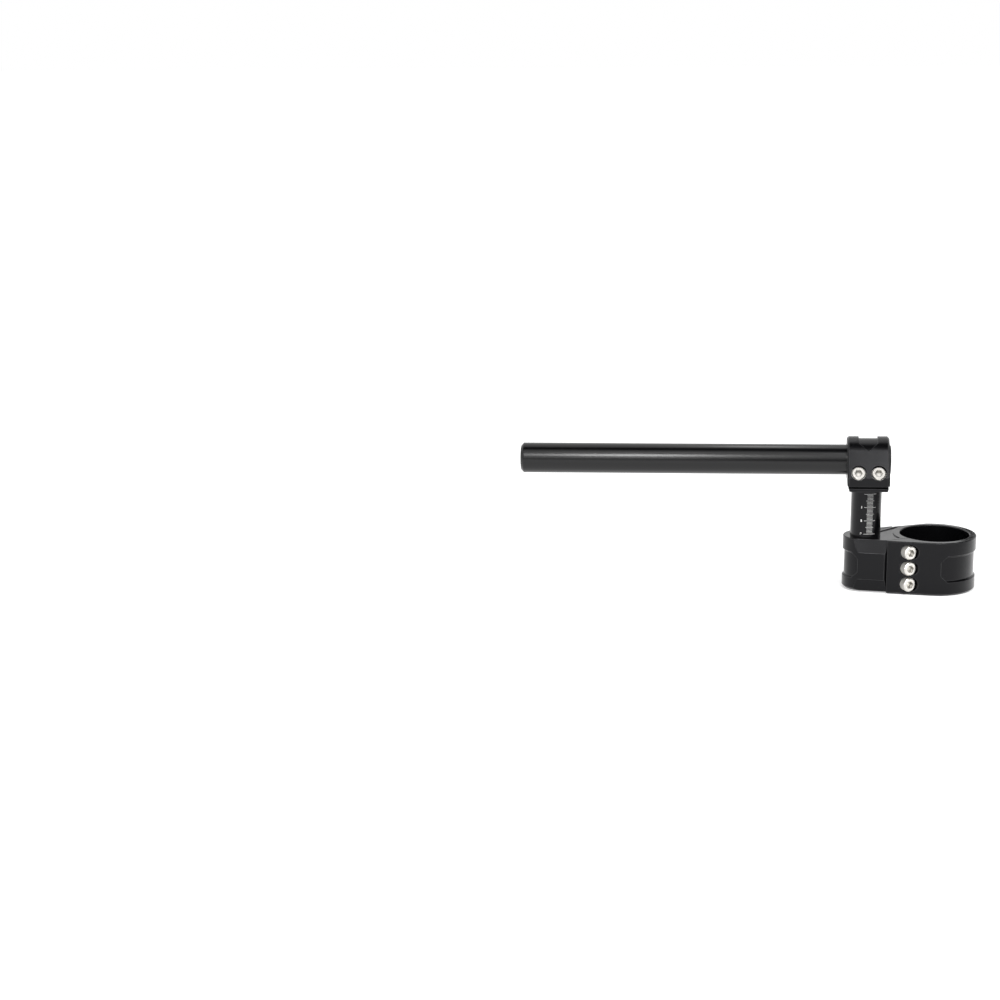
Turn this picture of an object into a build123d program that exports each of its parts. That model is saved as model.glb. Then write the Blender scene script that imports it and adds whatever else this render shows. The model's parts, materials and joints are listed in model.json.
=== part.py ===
from build123d import *
import os
from math import acos, asin, atan2, cos, degrees, radians, sin

# Height-adjustable clip-on handlebar, in millimetres, +Z up.
# The origin is on the fork tube's axis, in the plane of the clamp's foot. The riser stands beside
# the fork on the -X side, and the bar leaves its head towards -X. The clamp's front faces -Y.

# Tubes that the clamps grip
fork_diameter = 51.0
bar_diameter = 22.2
bar_wall = 3.0
bar_length = 271.0
bar_inner_stand = 1.3
bar_inner_chamfer = 0.8
bar_outer_chamfer = 1.9
bar_sweep = 10.2
bar_droop = 0.9
grip_clearance = 0.05

# Fork clamp: two rings on a common web
clamp_height = 40.0
centre_distance = 52.0
fork_wall = 5.0
riser_wall = 5.0
clamp_edge = 0.5
foot_edge = 1.5
web_foot = 1.2
slit_gap = 0.7
arm_tip_width = 1.0
facet_height = 10.0
facet_inset = 1.9
facet_step = 0.45

# Shallow bands milled round both ends of the clamp
band_height = 20.0
band_depth = 1.3
band_corner = 5.0
boss_band_run_out = 4.0
ring_band_run_out = 6.5

# Relief in the clamp's top face, between the two rings
relief_depth = 0.6
relief_rim = 2.6

# Socket cap screws
screw_diameter = 6.0
screw_head_diameter = 10.0
screw_head_height = 6.0
screw_head_edge = 0.5
socket_across_flats = 5.0
socket_depth = 3.0
thread_clearance = 0.05
shank_clearance = 0.25
pocket_clearance = 0.65
thread_spare = 1.0

# Pinch screws of the two arms: their tilt from the Y axis, and their places and those of the slits
# along the flat, from the tangent point of the riser end
clamp_screw_pitch = 12.0
clamp_screw_length = 16.0
clamp_screw_count = 3
fork_screw_tilt = 22.0
fork_screw_place = 33.5
fork_screw_stand = 1.9
fork_slit_place = 15.9
riser_screw_tilt = 38.0
riser_screw_place = 12.0
riser_screw_stand = 2.8
riser_slit_place = 33.0

# Riser: a round post with the bar's clamp on top
bar_height = 96.5
post_foot = 2.0
post_edge = 1.0
post_lead = 1.0
head_width = 30.6
head_wall = 6.1
head_edge = 1.3
head_drop = 18.4
head_back_ledge = 1.6
face_tilt = 35.0
nose_length = 21.8
nose_undercut = 0.8
lip_thickness = 2.3
lip_corner_width = 1.6
lip_corner_height = 4.7
jaw_slit_gap = 1.5
jaw_slit_place = 8.0

# Pinch screws of the bar's clamp
bar_screw_count = 2
bar_screw_pitch = 14.5
bar_screw_place = 17.5
bar_screw_length = 12.0
bar_screw_stand = -1.0

# Recess that runs over the head between two ribs, pointed at the front and the back
crown_width = 13.7
crown_depth = 1.4
crown_shoulder_angle = 56.0
crown_point_angle = 31.0

# Radii and heights that follow
bar_radius = bar_diameter / 2
grip_bore_radius = bar_radius + grip_clearance
fork_bore_radius = fork_diameter / 2
ring_radius = fork_bore_radius + fork_wall
boss_radius = grip_bore_radius + riser_wall
head_radius = grip_bore_radius + head_wall
mid_height = clamp_height / 2
band_bottom = mid_height - band_height / 2
band_top = mid_height + band_height / 2
thread_bore_radius = screw_diameter / 2 + thread_clearance
shank_bore_radius = screw_diameter / 2 + shank_clearance
pocket_radius = screw_head_diameter / 2 + pocket_clearance
far = 2 * (bar_length + centre_distance)

# The clamp's plan is the hull of its two rings: the lean and the length of the flats
flat_lean = asin((ring_radius - boss_radius) / centre_distance)
flat_length = centre_distance * cos(flat_lean)
front = -1
back = 1


def flat_point(place, side):
    """A point of a flat in plan, at a distance from the riser end's tangent point."""
    x = -centre_distance - boss_radius * sin(flat_lean) + place * cos(flat_lean)
    y = side * (boss_radius * cos(flat_lean) + place * sin(flat_lean))
    return x, y


def flat_plane(side):
    """A flat's own plane: local Y is up and local Z points out of the clamp."""
    along = (-side * cos(flat_lean), -sin(flat_lean), 0)
    out = (-sin(flat_lean), side * cos(flat_lean), 0)
    return Plane(origin=flat_point(0, side) + (0,), x_dir=along, z_dir=out)


def slit_plane(place, side, tilt):
    """The middle of a slit: local X runs from the mouth inwards, local Z is the screws' direction."""
    lean = radians(tilt)
    inwards = (-side * cos(lean), -side * sin(lean), 0)
    out = (-side * sin(lean), side * cos(lean), 0)
    return Plane(origin=flat_point(place, side) + (0,), x_dir=inwards, z_dir=out)


def seat_plane(place, side, tilt, stand):
    """The seat of a row of clamp screws at mid height: local Y is up, local Z is the heads' direction."""
    surface = slit_plane(place, side, tilt)
    seat_origin = surface.origin + surface.z_dir * (stand - screw_head_height)
    return Plane(origin=seat_origin + Vector(0, 0, mid_height), x_dir=surface.x_dir, z_dir=surface.z_dir)


fork_slit = slit_plane(fork_slit_place, front, fork_screw_tilt)
riser_slit = slit_plane(riser_slit_place, back, riser_screw_tilt)
fork_seat = seat_plane(fork_screw_place, front, fork_screw_tilt, fork_screw_stand)
riser_seat = seat_plane(riser_screw_place, back, riser_screw_tilt, riser_screw_stand)

# Where each arm's tip comes to a point in plan, before it is blunted
fork_tip_run = slit_gap / 2 / sin(radians(fork_screw_tilt) + flat_lean)
riser_tip_run = slit_gap / 2 / sin(radians(riser_screw_tilt) - flat_lean)
fork_arm_tip = flat_point(fork_slit_place + fork_tip_run, front)
riser_arm_tip = flat_point(riser_slit_place - riser_tip_run, back)

# Plan of the fork clamp: two bores in a hull, each opened by a slit from the opposite face
fork_axis = Vector(0, 0, 0)
riser_axis = Vector(-centre_distance, 0, 0)
slit_lead = 6 * slit_gap
with BuildSketch() as clamp_plan:
    Circle(ring_radius)
    with Locations(riser_axis):
        Circle(boss_radius)
    make_hull()
    Circle(fork_bore_radius, mode=Mode.SUBTRACT)
    with Locations(riser_axis):
        Circle(grip_bore_radius, mode=Mode.SUBTRACT)
    for slit, bore_axis in ((fork_slit, fork_axis), (riser_slit, riser_axis)):
        reach = (bore_axis - slit.origin).dot(slit.x_dir)
        turn = Vector(1, 0, 0).get_signed_angle(slit.x_dir, Vector(0, 0, 1))
        with Locations(slit.origin - slit.x_dir * slit_lead):
            Rectangle(
                reach + slit_lead,
                slit_gap,
                rotation=turn,
                align=(Align.MIN, Align.CENTER),
                mode=Mode.SUBTRACT,
            )
    for tip in (fork_arm_tip, riser_arm_tip):
        chamfer(clamp_plan.vertices().sort_by_distance(tip + (0,))[0], arm_tip_width)


def web_facets(side, slit):
    """Wedges with a small step, off the top and bottom edges of a flat on the web's side of its slit."""
    flat = flat_plane(side)
    with BuildPart() as wedges:
        with BuildSketch(Plane(origin=flat.origin, x_dir=flat.z_dir, z_dir=-flat.x_dir)):
            with BuildLine():
                Polyline(
                    (facet_inset, facet_height),
                    (-facet_step, facet_height),
                    (-facet_inset, 0),
                    (facet_inset, 0),
                    close=True,
                )
            make_face()
        extrude(amount=far, both=True)
        split(bisect_by=slit, keep=Keep.BOTTOM)
        mirror(about=Plane.XY.offset(mid_height))
    return wedges.part


def end_band(axis, radius, end, heading):
    """A shallow band with sloped ledges round one end of the clamp, its corners cut off at the flats."""
    with BuildPart() as band:
        with BuildSketch(Plane(origin=axis, x_dir=(-1, 0, 0), z_dir=(0, 1, 0))):
            with BuildLine():
                Polyline(
                    (radius - band_depth, band_bottom + band_depth),
                    (radius + band_depth, band_bottom - band_depth),
                    (radius + band_depth, band_top + band_depth),
                    (radius - band_depth, band_top - band_depth),
                    close=True,
                )
            make_face()
        revolve(axis=Axis(axis, (0, 0, 1)), revolution_arc=180)
        with BuildSketch(flat_plane(front)):
            with BuildLine():
                Polyline(
                    (end, band_bottom + band_corner),
                    (end, band_top - band_corner),
                    (end + heading * far, band_top - band_corner + far),
                    (end + heading * far, band_bottom + band_corner - far),
                    close=True,
                )
            make_face()
        extrude(amount=far, both=True, mode=Mode.INTERSECT)
        mirror(about=Plane.XZ)
    return band.part


# Relief between the rings, open to the riser's bore and kept behind both slits
with BuildPart() as top_relief:
    with BuildSketch(Plane.XY.offset(clamp_height - relief_depth)):
        Circle(ring_radius - relief_rim)
        with Locations(riser_axis):
            Circle(boss_radius - relief_rim)
        make_hull()
        Circle(ring_radius, mode=Mode.SUBTRACT)
        with Locations(riser_axis):
            Rectangle(far, far, align=(Align.MAX, Align.CENTER), mode=Mode.SUBTRACT)
        for slit in (fork_slit, riser_slit):
            turn = Vector(1, 0, 0).get_signed_angle(slit.x_dir, Vector(0, 0, 1))
            with Locations(slit.origin - slit.z_dir * (slit_gap / 2 + relief_rim)):
                Rectangle(
                    far,
                    far,
                    rotation=turn,
                    align=(Align.CENTER, Align.MAX),
                    mode=Mode.SUBTRACT,
                )
    extrude(amount=clamp_height)


def clamp_block(foot):
    """The clamp's hull from the height of its foot up, with broken edges."""
    with BuildPart() as block:
        with BuildSketch(Plane.XY.offset(foot)):
            Circle(ring_radius)
            with Locations(riser_axis):
                Circle(boss_radius)
            make_hull()
        extrude(amount=clamp_height - foot)
        chamfer(block.edges().group_by(Axis.Z)[-1], clamp_edge)
        chamfer(block.edges().group_by(Axis.Z)[0], foot_edge)
    return block.part


# Fork clamp, one milled piece: the fork ring and its arm reach lower than the web and the riser's ring
with BuildPart() as fork_clamp:
    add(clamp_block(0))
    with BuildSketch():
        Circle(ring_radius)
        with Locations(fork_slit.origin):
            Rectangle(far, far, rotation=fork_screw_tilt, align=(Align.CENTER, Align.MAX))
    extrude(amount=clamp_height, mode=Mode.INTERSECT)
    add(clamp_block(web_foot))
    add(clamp_plan.sketch)
    extrude(amount=clamp_height, mode=Mode.INTERSECT)
    with BuildSketch(Plane.XY.offset(clamp_height - clamp_edge)):
        Circle(fork_bore_radius)
    extrude(amount=clamp_edge, taper=-45, mode=Mode.SUBTRACT)
    add(web_facets(front, fork_slit), mode=Mode.SUBTRACT)
    add(web_facets(back, riser_slit), mode=Mode.SUBTRACT)
    add(end_band(riser_axis, boss_radius, -boss_band_run_out, -1), mode=Mode.SUBTRACT)
    add(end_band(fork_axis, ring_radius, flat_length + ring_band_run_out, 1), mode=Mode.SUBTRACT)
    add(top_relief.part, mode=Mode.SUBTRACT)
    for seat, slit in ((fork_seat, fork_slit), (riser_seat, riser_slit)):
        to_slit = (seat.origin - slit.origin).dot(slit.z_dir)
        with BuildSketch(seat):
            with GridLocations(0, clamp_screw_pitch, 1, clamp_screw_count):
                Circle(pocket_radius)
        extrude(amount=ring_radius, mode=Mode.SUBTRACT)
        with BuildSketch(seat):
            with GridLocations(0, clamp_screw_pitch, 1, clamp_screw_count):
                Circle(shank_bore_radius)
        extrude(amount=-to_slit, mode=Mode.SUBTRACT)
        with BuildSketch(seat):
            with GridLocations(0, clamp_screw_pitch, 1, clamp_screw_count):
                Circle(thread_bore_radius)
        extrude(amount=-clamp_screw_length - thread_spare, mode=Mode.SUBTRACT)

# The riser's head is drawn across the bar: local X is forward, local Y up, local Z out along the bar
sweep = radians(bar_sweep)
droop = radians(bar_droop)
outward = Vector(-cos(sweep) * cos(droop), sin(sweep) * cos(droop), -sin(droop))
forward = Vector(-sin(sweep), -cos(sweep), 0)
head_origin = riser_axis + Vector(0, 0, bar_height)
head_plane = Plane(origin=head_origin, x_dir=forward, z_dir=outward)
head_front_plane = Plane(origin=head_origin, x_dir=-outward, z_dir=forward)

# The tilted face that carries the screws is tangent to the head's round top
tilt = radians(face_tilt)
face_out = Vector(cos(tilt), sin(tilt))
face_down = Vector(sin(tilt), -cos(tilt))
face_top = face_out * head_radius
nose = face_top + face_down * nose_length
nose_foot = Vector(nose.X - nose_undercut, -head_drop)
back_foot = Vector(-bar_radius - head_back_ledge, -head_drop)
back_angle = degrees(atan2(back_foot.Y, back_foot.X)) % 360
back_wall_angle = back_angle - degrees(acos(head_radius / back_foot.length))

# The jaw's slit runs down from the bar's bore, then forward over the lip
slot_height = lip_thickness + jaw_slit_gap / 2 - head_drop
jaw_slit_top = face_out * jaw_slit_place
jaw_slit_length = (jaw_slit_top.Y - slot_height) / cos(tilt)
jaw_slit_foot = jaw_slit_top + face_down * jaw_slit_length

# The seat of the bar's pinch screws, square to the tilted face
seat_depth = screw_head_height - bar_screw_stand
seat_point = face_out * (head_radius - seat_depth) + face_down * bar_screw_place
bar_seat = Plane(
    origin=head_plane.from_local_coords(seat_point),
    x_dir=-outward,
    z_dir=forward * cos(tilt) + head_plane.y_dir * sin(tilt),
)

# Recess over the head between its two ribs
crown_middle = radians((crown_shoulder_angle + crown_point_angle) / 2)
crown_rise = head_radius * sin(radians((crown_shoulder_angle - crown_point_angle) / 2))
with BuildPart() as crown_recess:
    with BuildSketch(head_plane):
        Circle(head_radius + crown_depth)
        Circle(head_radius - crown_depth, mode=Mode.SUBTRACT)
    extrude(amount=crown_width / 2, both=True)
    for heading in (1, -1):
        with BuildSketch(
            Plane(
                origin=head_origin,
                x_dir=outward * -heading,
                z_dir=forward * heading * cos(crown_middle) + head_plane.y_dir * sin(crown_middle),
            )
        ):
            with BuildLine():
                Polyline(
                    (0, -crown_rise),
                    (crown_width / 2, crown_rise),
                    (crown_width / 2, far),
                    (-crown_width / 2, far),
                    (-crown_width / 2, crown_rise),
                    close=True,
                )
            make_face()
        extrude(amount=far, both=True, mode=Mode.INTERSECT)

# Riser: post and bar clamp turned and milled from one piece
with BuildPart() as riser:
    with BuildSketch(head_plane):
        with BuildLine():
            round_top = CenterArc((0, 0), head_radius, face_tilt, back_wall_angle - face_tilt)
            Polyline(face_top, nose, nose_foot, back_foot, round_top @ 1)
        make_face()
    extrude(amount=head_width / 2, both=True)
    head_sides = riser.faces().filter_by(Axis((0, 0, 0), outward))
    chamfer(head_sides.edges(), head_edge)
    with BuildSketch(head_front_plane):
        with BuildLine():
            Polyline(
                (-head_width / 2, head_radius),
                (-head_width / 2, lip_corner_height - head_drop),
                (lip_corner_width - head_width / 2, -head_drop),
                (head_width / 2 - lip_corner_width, -head_drop),
                (head_width / 2, lip_corner_height - head_drop),
                (head_width / 2, head_radius),
                close=True,
            )
        make_face()
    extrude(amount=far, both=True, mode=Mode.INTERSECT)
    with BuildSketch(Plane.XY.offset(post_foot)):
        with Locations(riser_axis):
            Circle(bar_radius)
    extrude(amount=bar_height - head_drop - post_foot + post_lead)
    chamfer(riser.edges().group_by(Axis.Z)[0], post_edge)
    with BuildSketch(head_plane):
        Circle(grip_bore_radius)
        with Locations(jaw_slit_top):
            Rectangle(
                jaw_slit_length + jaw_slit_gap / 2,
                jaw_slit_gap,
                rotation=face_tilt - 90,
                align=(Align.MIN, Align.CENTER),
            )
        with Locations(jaw_slit_foot - Vector(jaw_slit_gap / 2, 0)):
            Rectangle(head_radius, jaw_slit_gap, align=(Align.MIN, Align.CENTER))
    extrude(amount=head_width, both=True, mode=Mode.SUBTRACT)
    add(crown_recess.part, mode=Mode.SUBTRACT)
    with BuildSketch(bar_seat):
        with GridLocations(bar_screw_pitch, 0, bar_screw_count, 1):
            Circle(pocket_radius)
    extrude(amount=head_radius, mode=Mode.SUBTRACT)
    with BuildSketch(bar_seat):
        with GridLocations(bar_screw_pitch, 0, bar_screw_count, 1):
            Circle(shank_bore_radius)
    extrude(amount=jaw_slit_place + seat_depth - head_radius, mode=Mode.SUBTRACT)
    with BuildSketch(bar_seat):
        with GridLocations(bar_screw_pitch, 0, bar_screw_count, 1):
            Circle(thread_bore_radius)
    extrude(amount=-bar_screw_length - thread_spare, mode=Mode.SUBTRACT)

# Plain bar, held by the riser's head
with BuildPart() as handlebar_tube:
    with BuildSketch(head_plane.offset(-head_width / 2 - bar_inner_stand)):
        Circle(bar_radius)
        Circle(bar_radius - bar_wall, mode=Mode.SUBTRACT)
    extrude(amount=bar_length)
    bar_axis = Axis(head_origin, outward)
    for end, edge_width in ((0, bar_inner_chamfer), (-1, bar_outer_chamfer)):
        rims = handlebar_tube.faces().sort_by(bar_axis)[end].edges().sort_by(SortBy.RADIUS)
        chamfer(rims[-1], edge_width)


def cap_screws(seat, length, places):
    """A row of socket cap screws with their heads on a seat."""
    with BuildPart() as screws:
        with BuildSketch(seat):
            with GridLocations(*places):
                Circle(screw_head_diameter / 2)
        extrude(amount=screw_head_height)
        head_axis = Axis(seat.origin, seat.z_dir)
        crowns = screws.faces().filter_by(head_axis).group_by(head_axis)[-1]
        chamfer(crowns.edges(), screw_head_edge)
        with BuildSketch(seat.offset(screw_head_height)):
            with GridLocations(*places):
                RegularPolygon(socket_across_flats / 2, 6, major_radius=False)
        extrude(amount=-socket_depth, mode=Mode.SUBTRACT)
        with BuildSketch(seat):
            with GridLocations(*places):
                Circle(screw_diameter / 2)
        extrude(amount=-length)
    return screws


arm_row = (0, clamp_screw_pitch, 1, clamp_screw_count)
jaw_row = (bar_screw_pitch, 0, bar_screw_count, 1)
fork_pinch_screws = cap_screws(fork_seat, clamp_screw_length, arm_row)
riser_pinch_screws = cap_screws(riser_seat, clamp_screw_length, arm_row)
bar_pinch_screws = cap_screws(bar_seat, bar_screw_length, jaw_row)

os.makedirs("parts", exist_ok=True)
fork_clamp.part.label = "fork_clamp"
export_step(fork_clamp.part, "parts/fork_clamp.step")
fork_pinch_screws.part.label = "fork_pinch_screws"
export_step(fork_pinch_screws.part, "parts/fork_pinch_screws.step")
riser_pinch_screws.part.label = "riser_pinch_screws"
export_step(riser_pinch_screws.part, "parts/riser_pinch_screws.step")
riser.part.label = "riser"
export_step(riser.part, "parts/riser.step")
bar_pinch_screws.part.label = "bar_pinch_screws"
export_step(bar_pinch_screws.part, "parts/bar_pinch_screws.step")
handlebar_tube.part.label = "handlebar_tube"
export_step(handlebar_tube.part, "parts/handlebar_tube.step")
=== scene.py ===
import json
from math import atan2, cos, pi, radians, sin

import bpy
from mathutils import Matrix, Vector


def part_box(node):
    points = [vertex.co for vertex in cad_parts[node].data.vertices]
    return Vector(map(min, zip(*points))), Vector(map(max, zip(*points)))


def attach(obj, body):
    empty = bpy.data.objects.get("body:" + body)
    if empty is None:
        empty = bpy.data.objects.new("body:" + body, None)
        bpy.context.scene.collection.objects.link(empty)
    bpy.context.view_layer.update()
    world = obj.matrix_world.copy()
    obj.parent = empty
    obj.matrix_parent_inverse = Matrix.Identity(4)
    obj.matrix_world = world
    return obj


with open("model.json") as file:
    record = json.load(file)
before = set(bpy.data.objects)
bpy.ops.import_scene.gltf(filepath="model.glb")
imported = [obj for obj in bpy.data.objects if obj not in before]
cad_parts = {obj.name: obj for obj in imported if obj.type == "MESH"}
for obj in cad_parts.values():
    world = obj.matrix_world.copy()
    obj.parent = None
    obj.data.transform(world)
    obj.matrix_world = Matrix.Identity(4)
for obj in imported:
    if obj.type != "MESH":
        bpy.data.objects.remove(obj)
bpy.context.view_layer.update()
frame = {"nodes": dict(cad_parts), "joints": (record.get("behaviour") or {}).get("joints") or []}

# A height-adjustable clip-on handlebar on white paper. Sizes are in metres, in the CAD frame.
# Turns are in degrees unless a comment says radians.

bpy.ops.object.select_all(action="DESELECT")

# Directions and places taken from the frame
joints = {joint["name"]: joint for joint in frame["joints"]}
bar_direction = Vector(joints["bar_reach"]["axis"])
clamp_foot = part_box("fork_clamp")[0].z
riser_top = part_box("riser")[1].z

# The riser's post, and the scale printed down it from the long mark nearest the head
post_radius = 0.0111
post_place = Vector((-0.052, 0.0, 0.0))
print_lift = 0.00001
print_thickness = 0.000004
scale_top = 0.073
scale_marks = 31
mark_pitch = 0.001
mark_height = 0.00018
mark_widths = {"short": 0.0043, "medium": 0.0058, "long": 0.0085}
marks_to_medium = 5
marks_to_long = 10
mark_segments = 96
scale_turn = 2.6
numeral_height = 0.0014
numeral_stroke = 0.00018
numeral_turn = -32.0

# A figure's height as a share of its text size
figure_share = 0.7

# The knurled sides of the screw heads: one head's band, then each row's seats, step, count and way out
knurl_ridges = 36
knurl_valley = 0.00502
knurl_crest = 0.00518
knurl_wall = 0.0001
knurl_length = 0.0046
knurl_middle = 0.003
fork_seat = Vector((-0.0257935, -0.0209661, 0.008))
fork_way = Vector((0.37461, -0.92718, 0.0))
riser_seat = Vector((-0.0429526, 0.0163128, 0.008))
riser_way = Vector((-0.61566, 0.78801, 0.0))
clamp_row_step = Vector((0.0, 0.0, 0.012))
clamp_screws = 3
bar_seats_middle = Vector((-0.0551336, -0.0181661, 0.088045))
bar_way = Vector((-0.15393, -0.80461, 0.57351))
bar_row_step = bar_direction * -0.0145
bar_seat = bar_seats_middle - bar_row_step / 2
bar_screws = 2

# Colours: a pair runs from the darkest to the lightest tone of a grain
black_coat = ((0.0015, 0.0015, 0.0018), (0.003, 0.003, 0.0035))
# Painted highlight: the coat's edges are lightened towards this grey, to stand in for light caught on rounded
# edges
edge_highlight_coat = (0.06, 0.06, 0.062)
coat_glint = (0.29, 0.29, 0.3, 1.0)
bright_steel = ((0.68, 0.66, 0.62), (0.8, 0.78, 0.74))
dulled_steel = (0.25, 0.24, 0.225)
# Painted shade: the steel darkens towards this down in a screw's socket and in other narrow hollows
socket_shade = (0.02, 0.02, 0.02)
print_white = ((0.82, 0.82, 0.8), (0.92, 0.92, 0.9))
paper_grey = (0.8, 0.8, 0.8, 1.0)
white = (1.0, 1.0, 1.0, 1.0)
black = (0.0, 0.0, 0.0, 1.0)

# Most of a noise lies between these two values
noise_low = 0.3
noise_high = 0.7

# The edge mask, which paints the coat's edge highlight and darkens the steel's edges, starts and is full
# where the rounded normal turns this far from the face's own, in radians
least_edge_turn = 0.06
most_edge_turn = 0.4
edge_samples = 6
gap_samples = 8

# The paper and the white room round it: how bright each looks, and how much the room lights dull faces
paper_size = 12.0
paper_glow = 0.4
room_seen = 1.0
room_lighting = 0.8

# What the lamps and cards stand round: the head, the post's middle, and three places along the bar's axis
bar_axis_drop = 0.0172
head_place = Vector((post_place.x, post_place.y, riser_top - bar_axis_drop))
post_middle = post_place + Vector((0.0, 0.0, 0.06))
front_base = head_place + bar_direction * 0.171
back_base = head_place + bar_direction * 0.081
dark_base = head_place + bar_direction * 0.05

# Two cards that stand by themselves
head_flag_place = Vector((0.24, -0.34, 1.25))
rim_card_place = Vector((0.067, 0.15, 0.085))

# The camera, where the photograph was taken from
camera_place = Vector((-0.4556, -1.7608, 0.4916))
camera_aim = Vector((0.0737, 0.9700, -0.2317))
camera_lens = 90.0
camera_sensor = 36.0
camera_far = 50.0


# Shader node groups


def set_sockets(node, **values):
    """Sets a node's inputs by name: Grain_Scale is the input Grain Scale."""
    for name, value in values.items():
        node.inputs[name.replace("_", " ")].default_value = value


def new_group(name, inputs, outputs):
    """An empty shader node group with named sockets, its input node and its output node."""
    group = bpy.data.node_groups.new(name, "ShaderNodeTree")
    for socket_name, socket_type, value in inputs:
        socket = group.interface.new_socket(name=socket_name, in_out="INPUT", socket_type=socket_type)
        socket.default_value = value
    for socket_name, socket_type in outputs:
        group.interface.new_socket(name=socket_name, in_out="OUTPUT", socket_type=socket_type)
    entry = group.nodes.new("NodeGroupInput")
    leave = group.nodes.new("NodeGroupOutput")
    return group, entry, leave


def spread_roughness(group, entry, leave, noise):
    """The group's Roughness: from Smoothest to Roughest as the noise rises."""
    spread = group.nodes.new("ShaderNodeMapRange")
    set_sockets(spread, From_Min=noise_low, From_Max=noise_high)
    group.links.new(noise, spread.inputs["Value"])
    group.links.new(entry.outputs["Smoothest"], spread.inputs["To Min"])
    group.links.new(entry.outputs["Roughest"], spread.inputs["To Max"])
    group.links.new(spread.outputs["Result"], leave.inputs["Roughness"])


def wear_edges(group, entry, leave):
    """The group's Edge: 1 on a sharp edge, 0 on a face. Gives back the normal with rounded edges."""
    nodes, links = group.nodes, group.links
    rounded = nodes.new("ShaderNodeBevel")
    rounded.samples = edge_samples
    links.new(entry.outputs["Edge Radius"], rounded.inputs["Radius"])
    face = nodes.new("ShaderNodeNewGeometry")
    match = nodes.new("ShaderNodeVectorMath")
    match.operation = "DOT_PRODUCT"
    links.new(rounded.outputs["Normal"], match.inputs[0])
    links.new(face.outputs["Normal"], match.inputs[1])
    turn = nodes.new("ShaderNodeMath")
    turn.operation = "ARCCOSINE"
    links.new(match.outputs["Value"], turn.inputs[0])
    edge_marking = nodes.new("ShaderNodeMapRange")
    set_sockets(edge_marking, From_Min=least_edge_turn, From_Max=most_edge_turn)
    links.new(turn.outputs["Value"], edge_marking.inputs["Value"])
    links.new(edge_marking.outputs["Result"], leave.inputs["Edge"])
    return rounded.outputs["Normal"]


def find_gaps(group, entry, leave):
    """The group's Open, which is 1 on a free face and falls towards 0 down in a narrow hollow."""
    gap = group.nodes.new("ShaderNodeAmbientOcclusion")
    gap.samples = gap_samples
    gap.only_local = True
    group.links.new(entry.outputs["Gap Reach"], gap.inputs["Distance"])
    group.links.new(gap.outputs["AO"], leave.inputs["Open"])


def make_satin_grain():
    """A fine blasted grain, with what marks sharp edges (for a painted edge highlight) and narrow hollows
    (for painted shade).
    """
    group, entry, leave = new_group(
        "satin_grain",
        [
            ("Grain Scale", "NodeSocketFloat", 2500.0),
            ("Smoothest", "NodeSocketFloat", 0.3),
            ("Roughest", "NodeSocketFloat", 0.45),
            ("Grain Depth", "NodeSocketFloat", 0.1),
            ("Edge Radius", "NodeSocketFloat", 0.0003),
            ("Gap Reach", "NodeSocketFloat", 0.001),
        ],
        [
            ("Roughness", "NodeSocketFloat"),
            ("Tone", "NodeSocketFloat"),
            ("Edge", "NodeSocketFloat"),
            ("Open", "NodeSocketFloat"),
            ("Normal", "NodeSocketVector"),
        ],
    )
    nodes, links = group.nodes, group.links
    place = nodes.new("ShaderNodeTexCoord")
    grain = nodes.new("ShaderNodeTexNoise")
    set_sockets(grain, Detail=2.0)
    links.new(place.outputs["Object"], grain.inputs["Vector"])
    links.new(entry.outputs["Grain Scale"], grain.inputs["Scale"])
    links.new(grain.outputs["Fac"], leave.inputs["Tone"])
    cloud = nodes.new("ShaderNodeTexNoise")
    set_sockets(cloud, Scale=90.0, Detail=4.0)
    links.new(place.outputs["Object"], cloud.inputs["Vector"])
    spread_roughness(group, entry, leave, cloud.outputs["Fac"])
    find_gaps(group, entry, leave)
    bump = nodes.new("ShaderNodeBump")
    set_sockets(bump, Distance=0.00004)
    links.new(entry.outputs["Grain Depth"], bump.inputs["Strength"])
    links.new(grain.outputs["Fac"], bump.inputs["Height"])
    links.new(wear_edges(group, entry, leave), bump.inputs["Normal"])
    links.new(bump.outputs["Normal"], leave.inputs["Normal"])
    return group


def make_drawn_lines():
    """Faint lines drawn out along one direction, as on drawn tube."""
    group, entry, leave = new_group(
        "drawn_lines",
        [
            ("Turn", "NodeSocketVector", (0.0, 0.0, 0.0)),
            ("Across", "NodeSocketFloat", 700.0),
            ("Along", "NodeSocketFloat", 4.0),
            ("Smoothest", "NodeSocketFloat", 0.15),
            ("Roughest", "NodeSocketFloat", 0.25),
        ],
        [("Roughness", "NodeSocketFloat"), ("Tone", "NodeSocketFloat")],
    )
    nodes, links = group.nodes, group.links
    place = nodes.new("ShaderNodeTexCoord")
    turn = nodes.new("ShaderNodeMapping")
    links.new(place.outputs["Object"], turn.inputs["Vector"])
    links.new(entry.outputs["Turn"], turn.inputs["Rotation"])
    stretch = nodes.new("ShaderNodeCombineXYZ")
    links.new(entry.outputs["Along"], stretch.inputs["X"])
    links.new(entry.outputs["Across"], stretch.inputs["Y"])
    links.new(entry.outputs["Across"], stretch.inputs["Z"])
    scale = nodes.new("ShaderNodeVectorMath")
    scale.operation = "MULTIPLY"
    links.new(turn.outputs["Vector"], scale.inputs[0])
    links.new(stretch.outputs["Vector"], scale.inputs[1])
    lines = nodes.new("ShaderNodeTexNoise")
    set_sockets(lines, Scale=1.0, Detail=3.0)
    links.new(scale.outputs["Vector"], lines.inputs["Vector"])
    links.new(lines.outputs["Fac"], leave.inputs["Tone"])
    spread_roughness(group, entry, leave, lines.outputs["Fac"])
    return group


satin_grain = make_satin_grain()
drawn_lines = make_drawn_lines()


# Materials


def new_material(name):
    """A new material, its nodes and its links."""
    material = bpy.data.materials.new(name)
    material.use_nodes = True
    return material, material.node_tree.nodes, material.node_tree.links


def place_group(nodes, group, **values):
    """A group in a material, with its own values."""
    node = nodes.new("ShaderNodeGroup")
    node.node_tree = group
    set_sockets(node, **values)
    return node


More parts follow.
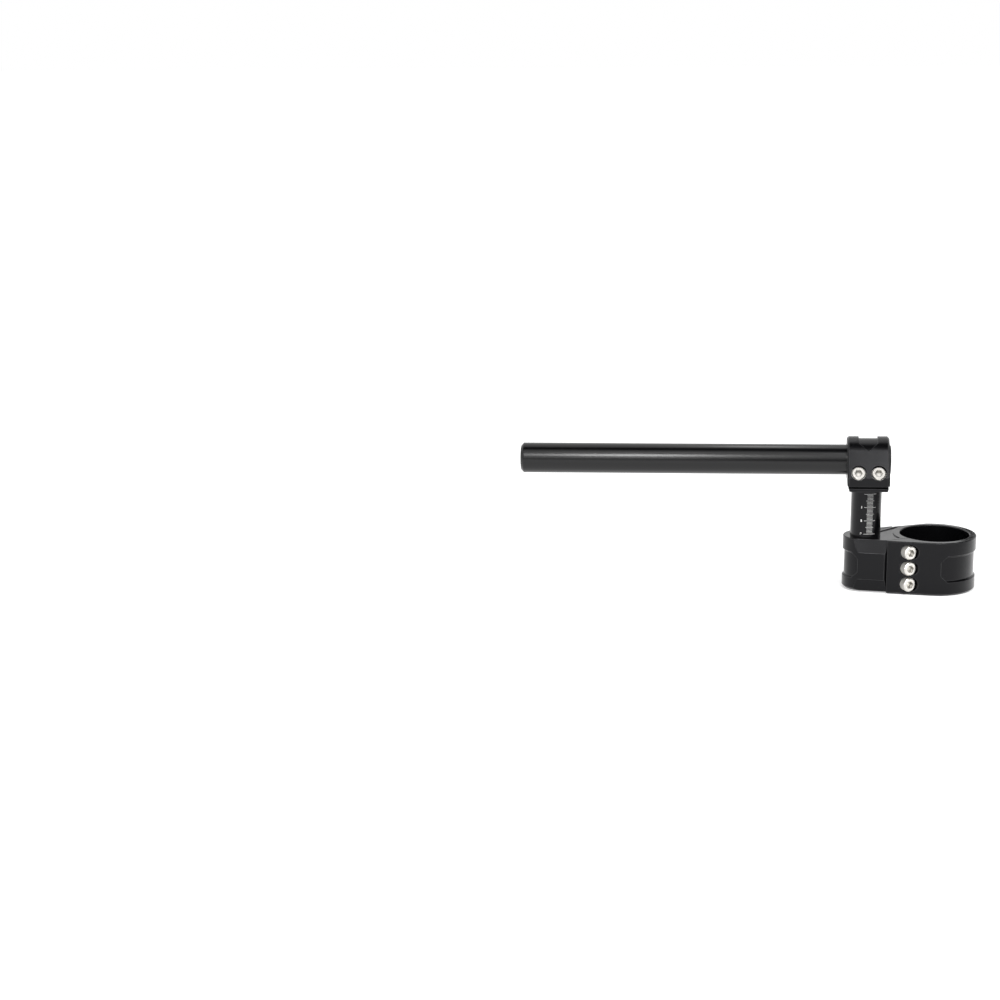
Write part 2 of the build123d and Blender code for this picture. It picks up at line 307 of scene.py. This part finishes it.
def tint(nodes, links, tone, colours):
    """A colour that runs through a pair of colours as the tone rises."""
    ramp = nodes.new("ShaderNodeValToRGB")
    for stop, position, colour in zip(ramp.color_ramp.elements, (noise_low, noise_high), colours):
        stop.position = position
        stop.color = (*colour, 1.0)
    links.new(tone, ramp.inputs["Fac"])
    return ramp.outputs["Color"]


def new_mix(nodes, links, mask):
    """A mix of two colours, from A to B as the mask goes from 0 to 1."""
    mix = nodes.new("ShaderNodeMix")
    mix.data_type = "RGBA"
    links.new(mask, mix.inputs["Factor"])
    return mix


def make_black_anodised():
    """The clamp's and the riser's coat: black with a satin grain, and a painted highlight that makes its
    edges paler.
    """
    material, nodes, links = new_material("black_anodised")
    shader = nodes["Principled BSDF"]
    grain = place_group(
        nodes, satin_grain, Smoothest=0.19, Roughest=0.26, Grain_Depth=0.2, Edge_Radius=0.0004
    )
    # Painted highlight: the coat is lightened along its sharp edges
    edge_marking = new_mix(nodes, links, grain.outputs["Edge"])
    links.new(tint(nodes, links, grain.outputs["Tone"], black_coat), edge_marking.inputs["A"])
    set_sockets(edge_marking, B=(*edge_highlight_coat, 1.0))
    links.new(edge_marking.outputs["Result"], shader.inputs["Base Color"])
    links.new(grain.outputs["Roughness"], shader.inputs["Roughness"])
    links.new(grain.outputs["Normal"], shader.inputs["Normal"])
    set_sockets(shader, IOR=1.6, Specular_Tint=coat_glint)
    return material


def make_bar_black():
    """The bar's coat: black with faint lines along the tube, and rounded at the ends."""
    material, nodes, links = new_material("bar_black")
    shader = nodes["Principled BSDF"]
    bar_turn = Vector((0.0, 0.0, -atan2(bar_direction.y, bar_direction.x)))
    lines = place_group(
        nodes, drawn_lines, Turn=bar_turn, Across=900.0, Along=2.0, Smoothest=0.18, Roughest=0.2
    )
    ends = place_group(nodes, satin_grain, Grain_Depth=0.0, Edge_Radius=0.0015)
    links.new(tint(nodes, links, lines.outputs["Tone"], black_coat), shader.inputs["Base Color"])
    links.new(lines.outputs["Roughness"], shader.inputs["Roughness"])
    links.new(ends.outputs["Normal"], shader.inputs["Normal"])
    set_sockets(shader, IOR=1.425)
    return material


def make_stainless(name, edge_radius, smoothest, roughest):
    """Bright steel, duller on its edges, with painted shade that darkens it down in a screw's socket."""
    material, nodes, links = new_material(name)
    shader = nodes["Principled BSDF"]
    grain = place_group(
        nodes,
        satin_grain,
        Grain_Scale=1500.0,
        Smoothest=smoothest,
        Roughest=roughest,
        Edge_Radius=edge_radius,
        Gap_Reach=0.0021,
    )
    dulled = new_mix(nodes, links, grain.outputs["Edge"])
    links.new(tint(nodes, links, grain.outputs["Tone"], bright_steel), dulled.inputs["A"])
    set_sockets(dulled, B=(*dulled_steel, 1.0))
    # Painted shade: darker towards socket_shade where the surface lies down in a narrow hollow
    shaded = new_mix(nodes, links, grain.outputs["Open"])
    set_sockets(shaded, A=(*socket_shade, 1.0))
    links.new(dulled.outputs["Result"], shaded.inputs["B"])
    links.new(shaded.outputs["Result"], shader.inputs["Base Color"])
    links.new(grain.outputs["Roughness"], shader.inputs["Roughness"])
    links.new(grain.outputs["Normal"], shader.inputs["Normal"])
    set_sockets(shader, Metallic=1.0)
    return material


def make_scale_print():
    """Dull white print."""
    material, nodes, links = new_material("scale_print")
    shader = nodes["Principled BSDF"]
    grain = place_group(nodes, satin_grain, Smoothest=0.5, Roughest=0.6, Grain_Depth=0.0)
    links.new(tint(nodes, links, grain.outputs["Tone"], print_white), shader.inputs["Base Color"])
    links.new(grain.outputs["Roughness"], shader.inputs["Roughness"])
    return material


def dress(node, material):
    """Gives a CAD node its material."""
    mesh = frame["nodes"][node].data
    mesh.materials.clear()
    mesh.materials.append(material)


black_anodised = make_black_anodised()
bar_black = make_bar_black()
stainless = make_stainless("stainless", edge_radius=0.0003, smoothest=0.2, roughest=0.32)
knurled_steel = make_stainless("knurled_steel", edge_radius=0.00001, smoothest=0.44, roughest=0.54)
scale_print = make_scale_print()
dress("fork_clamp", black_anodised)
dress("riser", black_anodised)
dress("handlebar_tube", bar_black)
for screws in ("fork_pinch_screws", "riser_pinch_screws", "bar_pinch_screws"):
    dress(screws, stainless)


# Steps that more than one piece takes


def pick(pieces):
    """Selects these pieces and nothing else, with the first one active."""
    bpy.ops.object.select_all(action="DESELECT")
    for piece in pieces:
        piece.select_set(True)
    bpy.context.view_layer.objects.active = pieces[0]


def apply_place(piece):
    """Moves a piece's place and turn into its mesh."""
    pick([piece])
    bpy.ops.object.transform_apply(location=True, rotation=True, scale=True)


def join(pieces, name):
    """Makes several pieces one."""
    pick(pieces)
    bpy.ops.object.join()
    joined = bpy.context.object
    joined.name = name
    return joined


def thicken(piece, name, thickness, offset):
    """Gives a sheet its thickness, outwards at an offset of 1 and inwards at -1."""
    wall = piece.modifiers.new(name, "SOLIDIFY")
    wall.thickness = thickness
    wall.offset = offset
    bpy.ops.object.modifier_apply(modifier=wall.name)


def clear_mesh_selection(kind):
    """Deselects the active mesh all over, and picks by face or by vertex from here on."""
    bpy.ops.object.mode_set(mode="EDIT")
    bpy.ops.mesh.select_mode(type=kind)
    bpy.ops.mesh.select_all(action="DESELECT")
    bpy.ops.object.mode_set(mode="OBJECT")


# The scale on the post


def add_mark(height, width):
    """A curved mark: the front stretch of an open ring that stands round the post."""
    bpy.ops.object.select_all(action="DESELECT")
    bpy.ops.mesh.primitive_cylinder_add(
        vertices=mark_segments,
        radius=post_radius + print_lift,
        depth=mark_height,
        end_fill_type="NOTHING",
        location=post_place + Vector((0, 0, height)),
        rotation=(0, 0, radians(scale_turn)),
    )
    mark = bpy.context.object
    reach = width / 2 / post_radius
    clear_mesh_selection("FACE")
    for face in mark.data.polygons:
        turn = atan2(face.center.x, -face.center.y)
        face.select = abs(turn) > reach
    bpy.ops.object.mode_set(mode="EDIT")
    bpy.ops.mesh.delete(type="FACE")
    bpy.ops.object.mode_set(mode="OBJECT")
    apply_place(mark)
    return mark


def add_numeral(figure, height):
    """A figure that lies on the post beside its long mark."""
    bpy.ops.object.select_all(action="DESELECT")
    turn = radians(scale_turn + numeral_turn)
    outward = Vector((sin(turn), -cos(turn), 0))
    bpy.ops.object.text_add(
        location=post_place + outward * (post_radius + print_lift) + Vector((0, 0, height)),
        rotation=(pi / 2, 0, turn),
    )
    numeral = bpy.context.object
    numeral.data.body = str(figure)
    numeral.data.size = numeral_height / figure_share
    numeral.data.offset = numeral_stroke
    numeral.data.align_x = "CENTER"
    numeral.data.align_y = "CENTER"
    bpy.ops.object.convert(target="MESH")
    numeral = bpy.context.object
    apply_place(numeral)
    return numeral


def mark_size(index):
    """Which of the three widths a mark has, counted from the scale's top."""
    if index % marks_to_long == 0:
        return "long"
    if index % marks_to_medium == 0:
        return "medium"
    return "short"


def make_height_scale():
    """Marks 1 mm apart, longer at 5 and 10 mm, with a figure at each centimetre, as one printed piece."""
    prints = []
    for index in range(scale_marks):
        height = scale_top - index * mark_pitch
        prints.append(add_mark(height, mark_widths[mark_size(index)]))
        if index and index % marks_to_long == 0:
            prints.append(add_numeral(index // marks_to_long, height))
    scale = join(prints, "height_scale")
    thicken(scale, "print_thickness", print_thickness, 1.0)
    scale.data.materials.clear()
    scale.data.materials.append(scale_print)
    return scale


height_scale = make_height_scale()
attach(height_scale, "riser")


# The knurled sides of the screw heads


def make_knurl_band():
    """The knurled side of one head, upright at the origin: a thin ring with every other edge pulled out."""
    bpy.ops.object.select_all(action="DESELECT")
    bpy.ops.mesh.primitive_cylinder_add(
        vertices=2 * knurl_ridges, radius=knurl_valley, depth=knurl_length, end_fill_type="NOTHING"
    )
    band = bpy.context.object
    clear_mesh_selection("VERT")
    for corner in band.data.vertices:
        step = round(atan2(corner.co.y, corner.co.x) * knurl_ridges / pi)
        corner.select = step % 2 == 0
    pull = knurl_crest / knurl_valley
    bpy.ops.object.mode_set(mode="EDIT")
    bpy.ops.transform.resize(value=(pull, pull, 1.0), center_override=(0, 0, 0))
    bpy.ops.object.mode_set(mode="OBJECT")
    thicken(band, "knurl_wall", knurl_wall, -1.0)
    band.data.materials.append(knurled_steel)
    return band


def make_knurled_row(name, band, first_seat, step, way, count, body):
    """Copies of the band round the heads of one row, joined and carried by the body that holds the screws."""
    copies = []
    for index in range(count):
        pick([band])
        bpy.ops.object.duplicate()
        copy = bpy.context.object
        copy.location = first_seat + step * index + way * knurl_middle
        copy.rotation_euler = way.to_track_quat("Z", "Y").to_euler()
        apply_place(copy)
        copies.append(copy)
    row = join(copies, name)
    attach(row, body)


knurl_band = make_knurl_band()
make_knurled_row("fork_screw_knurls", knurl_band, fork_seat, clamp_row_step, fork_way, clamp_screws, "clamp")
make_knurled_row(
    "riser_screw_knurls", knurl_band, riser_seat, clamp_row_step, riser_way, clamp_screws, "clamp"
)
make_knurled_row("bar_screw_knurls", knurl_band, bar_seat, bar_row_step, bar_way, bar_screws, "riser")
bpy.data.objects.remove(knurl_band)


# The paper, the room, the lamps and the black cards


def show_white(nodes, links, strength):
    """A strength for camera, glossy and transmission rays, and none for the rest."""
    path = nodes.new("ShaderNodeLightPath")
    mirrored = nodes.new("ShaderNodeMath")
    mirrored.operation = "MAXIMUM"
    links.new(path.outputs["Is Camera Ray"], mirrored.inputs[0])
    links.new(path.outputs["Is Glossy Ray"], mirrored.inputs[1])
    seen = nodes.new("ShaderNodeMath")
    seen.operation = "MAXIMUM"
    links.new(mirrored.outputs["Value"], seen.inputs[0])
    links.new(path.outputs["Is Transmission Ray"], seen.inputs[1])
    level = nodes.new("ShaderNodeMath")
    level.operation = "MULTIPLY"
    level.inputs[1].default_value = strength
    links.new(seen.outputs["Value"], level.inputs[0])
    return level.outputs["Value"]


def make_floor():
    """White paper under the clamp, which keeps its shadow."""
    bpy.ops.object.select_all(action="DESELECT")
    bpy.ops.mesh.primitive_plane_add(size=paper_size, location=(0, 0, clamp_foot))
    floor = bpy.context.object
    floor.name = "floor"
    material, nodes, links = new_material("white_paper")
    shader = nodes["Principled BSDF"]
    set_sockets(shader, Base_Color=paper_grey, Roughness=1.0, Specular_IOR_Level=0.0, Emission_Color=white)
    links.new(show_white(nodes, links, paper_glow), shader.inputs["Emission Strength"])
    floor.data.materials.append(material)


def make_world():
    """A white room, a little dimmer as light on dull faces than it looks."""
    world = bpy.data.worlds.new("white_room")
    bpy.context.scene.world = world
    world.use_nodes = True
    nodes, links = world.node_tree.nodes, world.node_tree.links
    background = nodes["Background"]
    set_sockets(background, Color=white)
    path = nodes.new("ShaderNodeLightPath")
    dim = nodes.new("ShaderNodeMapRange")
    set_sockets(dim, To_Min=room_seen, To_Max=room_lighting)
    links.new(path.outputs["Is Diffuse Ray"], dim.inputs["Value"])
    links.new(dim.outputs["Result"], background.inputs["Strength"])


def make_black_card():
    """Black with no gloss."""
    material, nodes, _ = new_material("black_card")
    set_sockets(nodes["Principled BSDF"], Base_Color=black, Specular_IOR_Level=0.0)
    return material


def facing(direction):
    """The turn that points a lamp, a card or the camera along a direction."""
    return direction.to_track_quat("-Z", "Y").to_euler()


def seen_from(base, turn, rise, distance):
    """A place seen from a base: degrees left of -Y, degrees up from the front horizon, and metres."""
    level = Vector((-sin(radians(turn)), -cos(radians(turn)), 0))
    return base + (level * cos(radians(rise)) + Vector((0, 0, sin(radians(rise))))) * distance


def add_softbox(name, base, turn, rise, distance, width, height, brightness):
    """An area lamp that faces a base, with a given brightness of its face, where 1 is white."""
    place = seen_from(base, turn, rise, distance)
    bpy.ops.object.light_add(type="AREA", location=place, rotation=facing(base - place))
    lamp = bpy.context.object
    lamp.name = name
    lamp.data.shape = "RECTANGLE"
    lamp.data.size = width
    lamp.data.size_y = height
    lamp.data.energy = brightness * pi * width * height
    lamp.visible_camera = False
    return lamp


def keep_off(lamp, node):
    """Keeps a lamp's light and its reflection off one CAD node."""
    unlit = bpy.data.collections.new(lamp.name + "_unlit")
    unlit.objects.link(frame["nodes"][node])
    unlit.collection_objects[0].light_linking.link_state = "EXCLUDE"
    lamp.light_linking.receiver_collection = unlit


def add_flag(name, place, direction, width, height):
    """A black card that only shows in reflections."""
    bpy.ops.object.select_all(action="DESELECT")
    bpy.ops.mesh.primitive_plane_add(size=1.0, location=place, rotation=facing(direction))
    flag = bpy.context.object
    flag.name = name
    flag.scale = (width, height, 1.0)
    flag.data.materials.append(black_card)
    flag.visible_camera = False
    flag.visible_diffuse = False
    flag.visible_shadow = False


def add_flag_round(name, base, turn, rise, distance, width, height):
    """A black card that faces a base."""
    place = seen_from(base, turn, rise, distance)
    add_flag(name, place, base - place, width, height)


black_card = make_black_card()
make_floor()
make_world()

# Each lamp: its base, turn, rise and distance, the width and height of its face, and its brightness
add_softbox("front_strip", front_base, 14.4, 34.5, 2.0, 0.13, 0.52, 36.0)
add_softbox("low_strip", front_base, 14.0, 19.5, 2.0, 0.15, 0.5, 5.5)
add_softbox("front_panel", front_base, 16.4, 53.5, 2.0, 0.25, 0.66, 1.9)
add_softbox("back_strip", back_base, 9.0, 120.0, 1.6, 0.1, 0.6, 4.5)
head_box = add_softbox("head_box", head_place, -12.0, 50.0, 2.0, 0.52, 0.7, 17.5)
left_box = add_softbox("left_box", post_middle, 27.0, 6.0, 2.0, 0.62, 0.4, 4.6)

# Without these two, the head's screws burn out and the bar shows a second bright line
keep_off(head_box, "bar_pinch_screws")
keep_off(left_box, "handlebar_tube")

# Each card: its base, turn, rise and distance, or its place and direction, then its width and height
add_flag_round("top_flag", front_base, 13.0, 88.0, 1.2, 3.0, 0.54)
add_flag("head_flag", head_flag_place, Vector((0.0, 0.0, -1.0)), 0.8, 0.42)
add_flag_round("camera_flag", dark_base, 8.5, 6.0, 2.2, 0.24, 0.5)
add_flag_round("right_card", post_middle, -80.0, 0.0, 0.27, 0.3, 0.12)
add_flag_round("right_flag", post_middle, -105.0, 45.0, 1.2, 1.2, 0.8)
add_flag("rim_card", rim_card_place, Vector((0.0, -1.0, 0.0)), 0.014, 0.06)

# The camera
bpy.ops.object.camera_add(location=camera_place, rotation=facing(camera_aim))
camera = bpy.context.object
camera.data.lens = camera_lens
camera.data.sensor_width = camera_sensor
camera.data.clip_end = camera_far
bpy.context.scene.camera = camera
bpy.context.scene.view_settings.view_transform = "Standard"
